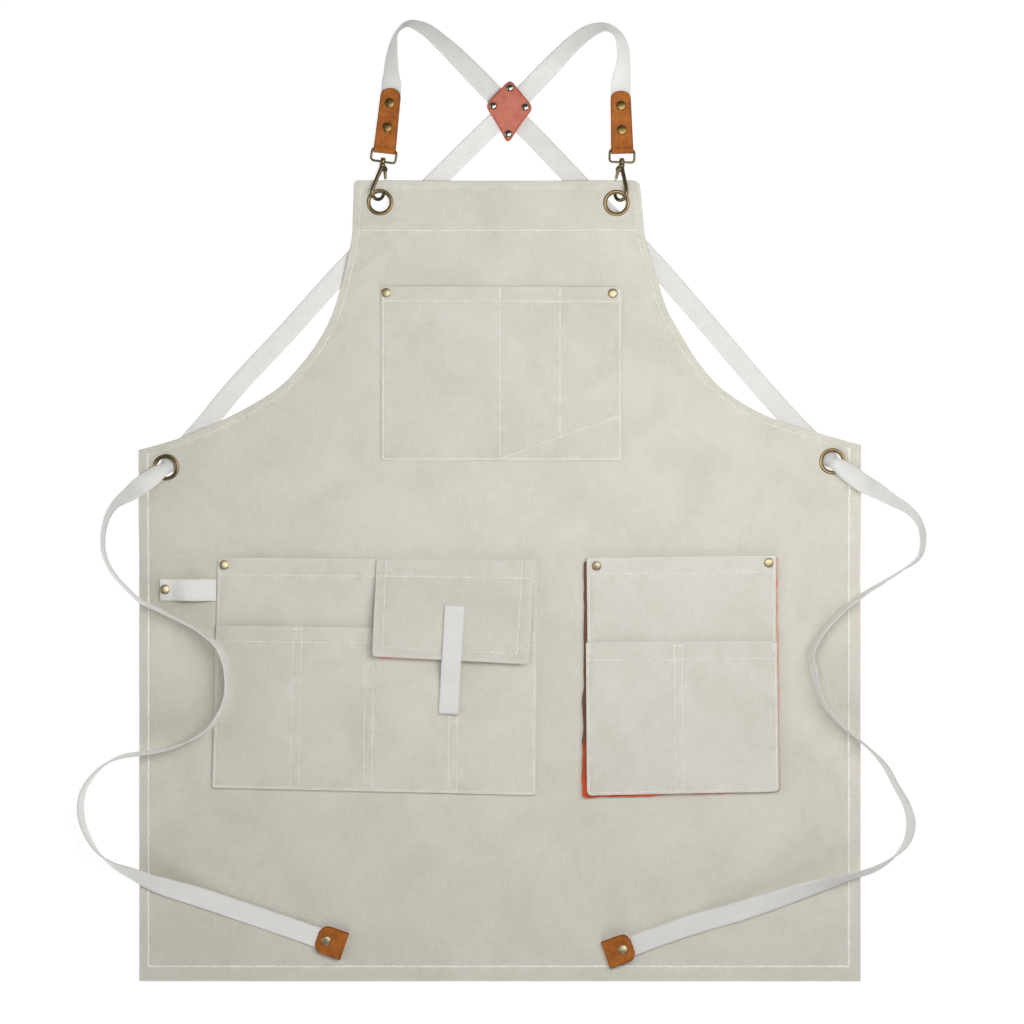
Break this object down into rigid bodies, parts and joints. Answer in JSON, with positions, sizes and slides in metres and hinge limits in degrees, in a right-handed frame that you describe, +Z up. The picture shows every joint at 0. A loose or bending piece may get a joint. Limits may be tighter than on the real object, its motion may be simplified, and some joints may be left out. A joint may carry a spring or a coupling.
{
  "type": "canvas work apron",
  "caption": "Bib work apron of natural canvas laid flat, with patch pockets, a flapped tool pocket, a hung pouch, cross-back webbing straps, snap hooks and leather trim.",
  "frame": {"origin": "middle of the apron panel, on the plane that it lies on", "axes": "+Z up out of the cloth's front side, +Y towards the bib, +X to the right as seen from above"},
  "size_m": [0.849, 0.9629, 0.0292],
  "materials": {
    "canvas": "matt plain-weave cotton canvas",
    "lining": "matt coated lining",
    "webbing": "matt woven cotton webbing",
    "leather": "smooth tan leather",
    "patch_leather": "smooth reddish leather",
    "antique_brass": "antique brass, worn bright on the edges",
    "stud_metal": "dark polished studs"
  },
  "bodies": {
    "apron": {"apron_body": "canvas", "bib_pocket": "canvas", "tool_pocket_back": "canvas", "tool_pocket_front": "canvas", "pocket_flap": "canvas", "pouch_panel": "canvas", "pouch_pocket": "canvas", "flap_lining": "lining", "pouch_lining": "lining", "strap_left": "webbing", "strap_right": "webbing", "flap_tab": "webbing", "tool_loop": "webbing", "shoulder_tab_left": "leather", "shoulder_tab_right": "leather", "tie_cap_left": "leather", "tie_cap_right": "leather", "cross_patch": "patch_leather", "grommet_bib_left": "antique_brass", "grommet_bib_right": "antique_brass", "grommet_side_left": "antique_brass", "grommet_side_right": "antique_brass", "hook_eye_left": "antique_brass", "hook_body_left": "antique_brass", "hook_eye_right": "antique_brass", "hook_body_right": "antique_brass", "rivet_bib_pocket_left": "antique_brass", "rivet_bib_pocket_right": "antique_brass", "rivet_tool_pocket": "antique_brass", "rivet_tool_loop": "antique_brass", "rivet_pouch_left": "antique_brass", "rivet_pouch_right": "antique_brass", "rivet_tab_left_1": "antique_brass", "rivet_tab_left_2": "antique_brass", "rivet_tab_right_1": "antique_brass", "rivet_tab_right_2": "antique_brass", "rivet_tie_left": "antique_brass", "rivet_tie_right": "antique_brass", "rivet_patch_1": "stud_metal", "rivet_patch_2": "stud_metal", "rivet_patch_3": "stud_metal", "rivet_patch_4": "stud_metal"},
    "gate_left": {"hook_gate_left": "antique_brass"},
    "gate_right": {"hook_gate_right": "antique_brass"}
  },
  "joints": [
    {"name": "gate_left_hinge", "type": "hinge", "parent": "apron", "child": "gate_left", "pos_m": [-0.1151, 0.41038, 0.00327], "axis": [-0.6408, 0.0621, -0.7652], "range_deg": [0, 30], "stiffness_Nm_per_rad": 0.004, "springref_deg": -14.32},
    {"name": "gate_right_hinge", "type": "hinge", "parent": "apron", "child": "gate_right", "pos_m": [0.11832, 0.4104, 0.00327], "axis": [-0.6411, 0.059, 0.7652], "range_deg": [0, 30], "stiffness_Nm_per_rad": 0.004, "springref_deg": -14.32}
  ]
}
